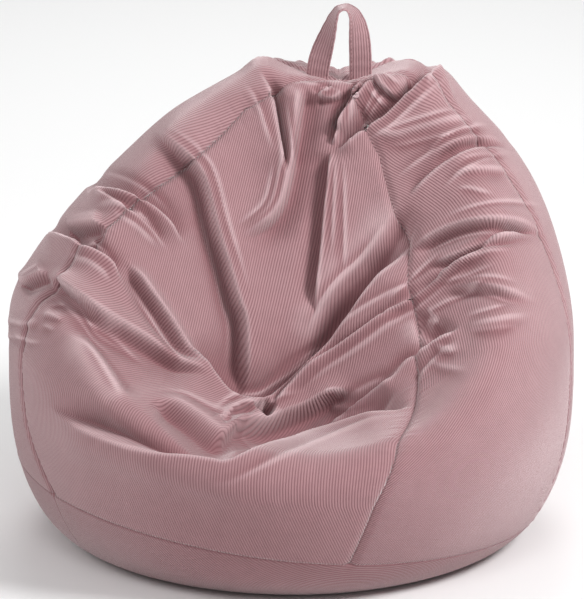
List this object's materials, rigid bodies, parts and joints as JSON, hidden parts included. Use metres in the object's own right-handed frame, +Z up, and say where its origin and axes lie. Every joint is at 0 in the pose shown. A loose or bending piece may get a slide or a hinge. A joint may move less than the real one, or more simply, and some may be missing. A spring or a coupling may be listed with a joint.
{
  "type": "bean bag chair",
  "caption": "Teardrop bean bag chair with a ribbed corduroy cover in tapered panels, a pressed-in seat, a strap carry handle at the peak and a zip down the rear seam.",
  "frame": {"origin": "middle of the footprint, on the floor", "axes": "+X to the right as seen from the front, +Y towards the backrest, +Z up"},
  "size_m": [0.8928, 0.8685, 0.7971],
  "materials": {
    "corduroy": "ribbed cotton corduroy, dusty pink",
    "strap": "folded corduroy strap, dusty pink",
    "liner_cloth": "plain woven lining, off white",
    "hook_strip": "hook tape",
    "loop_strip": "loop tape",
    "beads": "expanded polystyrene beads",
    "zip_tape": "woven tape, dusty pink",
    "zip_coil": "nylon coil, dusty pink",
    "zip_metal": "plated zip metal"
  },
  "bodies": {
    "bag": {"base_panel": "corduroy", "panel_front": "corduroy", "panel_right_front": "corduroy", "panel_right_rear": "corduroy", "panel_rear_right": "corduroy", "panel_rear_left": "corduroy", "panel_left": "corduroy", "handle_patch": "strap", "liner_base": "liner_cloth", "liner_left": "liner_cloth", "liner_right": "liner_cloth", "liner_closure_hook": "hook_strip", "liner_closure_loop": "loop_strip", "bead_fill": "beads", "zip_tape_left": "zip_tape", "zip_tape_right": "zip_tape", "zip_coil_left": "zip_coil", "zip_coil_right": "zip_coil", "zip_bottom_stop": "zip_metal", "zip_top_stop": "zip_metal"},
    "handle": {"carry_handle": "strap"},
    "slider": {"zip_slider": "zip_metal"},
    "pull": {"zip_pull": "zip_metal"}
  },
  "joints": [
    {"name": "handle_tilt", "type": "hinge", "parent": "bag", "child": "handle", "pos_m": [0.076, 0.212, 0.7014], "axis": [1, 0, 0], "range_deg": [-45, 45], "stiffness_Nm_per_rad": 0.01},
    {"name": "zip_run", "type": "hinge", "parent": "bag", "child": "slider", "pos_m": [0.03062, -0.246, 0.282], "axis": [0.9942, 0, -0.1079], "range_deg": [-37.7, 0]},
    {"name": "pull_swing", "type": "hinge", "parent": "slider", "child": "pull", "pos_m": [0.06186, 0.36702, 0.56972], "axis": [0.9942, 0, -0.1079], "range_deg": [0, 150]}
  ]
}
